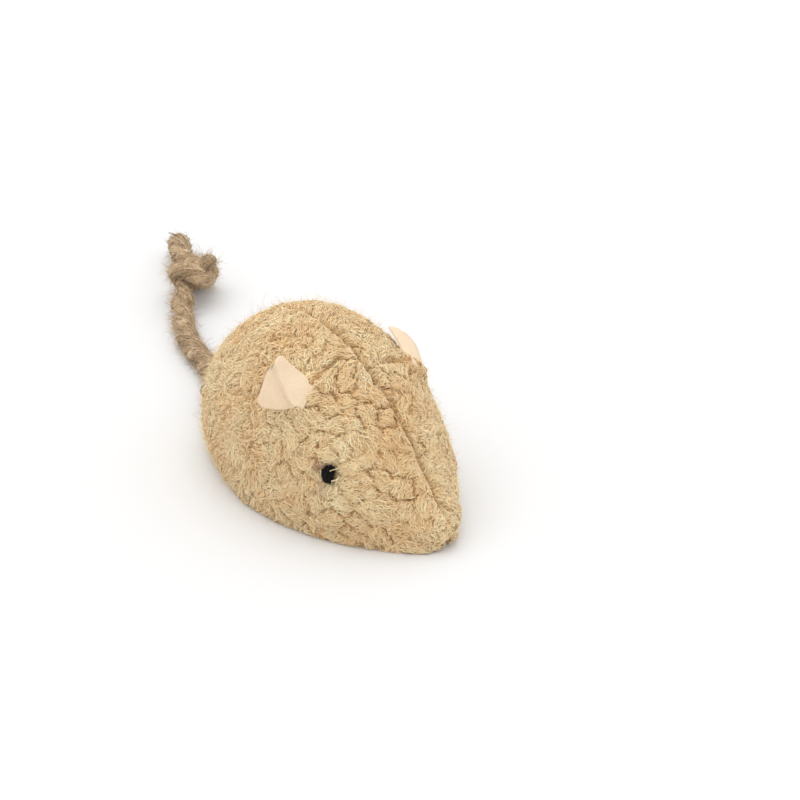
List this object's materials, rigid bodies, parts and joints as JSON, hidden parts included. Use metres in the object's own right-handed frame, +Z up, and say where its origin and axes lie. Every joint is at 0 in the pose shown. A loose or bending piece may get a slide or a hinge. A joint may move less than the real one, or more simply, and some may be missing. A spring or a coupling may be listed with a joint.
{
  "type": "catnip mouse",
  "caption": "Stuffed toy mouse of curly fleece with felt ears, knotted thread eyes and a knotted rope tail, filled with fibre and dried catnip.",
  "frame": {"origin": "on the floor under the middle of the body, on the belly panel", "axes": "+Z up, the nose points to -Y and the tail leaves towards +Y; +X is the left side of the mouse"},
  "size_m": [0.0782, 0.1587, 0.0439],
  "materials": {
    "fleece": "curly looped pile, matt",
    "felt": "fuzzy felt, matt",
    "jute": "twisted hairy rope, matt",
    "black_thread": "embroidery thread, slight sheen",
    "tan_thread": "sewing thread",
    "brown_thread": "sewing thread",
    "fibre": "loose fibre fill",
    "herb": "dried chopped leaf"
  },
  "bodies": {
    "mouse": {"left_side_panel": "fleece", "right_side_panel": "fleece", "belly_panel": "fleece", "left_belly_seam_thread": "tan_thread", "right_belly_seam_thread": "tan_thread", "back_seam_thread": "tan_thread", "left_dart_thread": "tan_thread", "right_dart_thread": "tan_thread", "tail_whipping": "tan_thread", "closing_stitch": "brown_thread", "left_ear_foot": "felt", "right_ear_foot": "felt", "left_eye": "black_thread", "right_eye": "black_thread", "eye_thread": "black_thread", "head_stuffing": "fibre", "body_stuffing": "fibre", "dried_catnip": "herb", "tail_root": "jute"},
    "left_ear": {"left_ear": "felt"},
    "right_ear": {"right_ear": "felt"},
    "tail_base": {"tail_bend": "jute"},
    "tail": {"tail_rope": "jute", "tail_knot": "jute", "tail_end": "jute"}
  },
  "joints": [
    {"name": "left_ear_flop", "type": "hinge", "parent": "mouse", "child": "left_ear", "pos_m": [0.01548, -0.013, 0.03166], "axis": [0.6632, 0, -0.7484], "range_deg": [-4, 60], "stiffness_Nm_per_rad": 0.0005},
    {"name": "right_ear_flop", "type": "hinge", "parent": "mouse", "child": "right_ear", "pos_m": [-0.01594, -0.0083, 0.03419], "axis": [0.6702, 0, 0.7422], "range_deg": [-20, 50], "stiffness_Nm_per_rad": 0.0005},
    {"name": "tail_swing", "type": "hinge", "parent": "mouse", "child": "tail_base", "pos_m": [0, 0.0435, 0.006], "axis": [0, 0, 1], "range_deg": [-45, 70]},
    {"name": "tail_lift", "type": "hinge", "parent": "tail_base", "child": "tail", "pos_m": [0, 0.0435, 0.006], "axis": [0.8168, -0.5769, 0], "range_deg": [0, 70]}
  ]
}
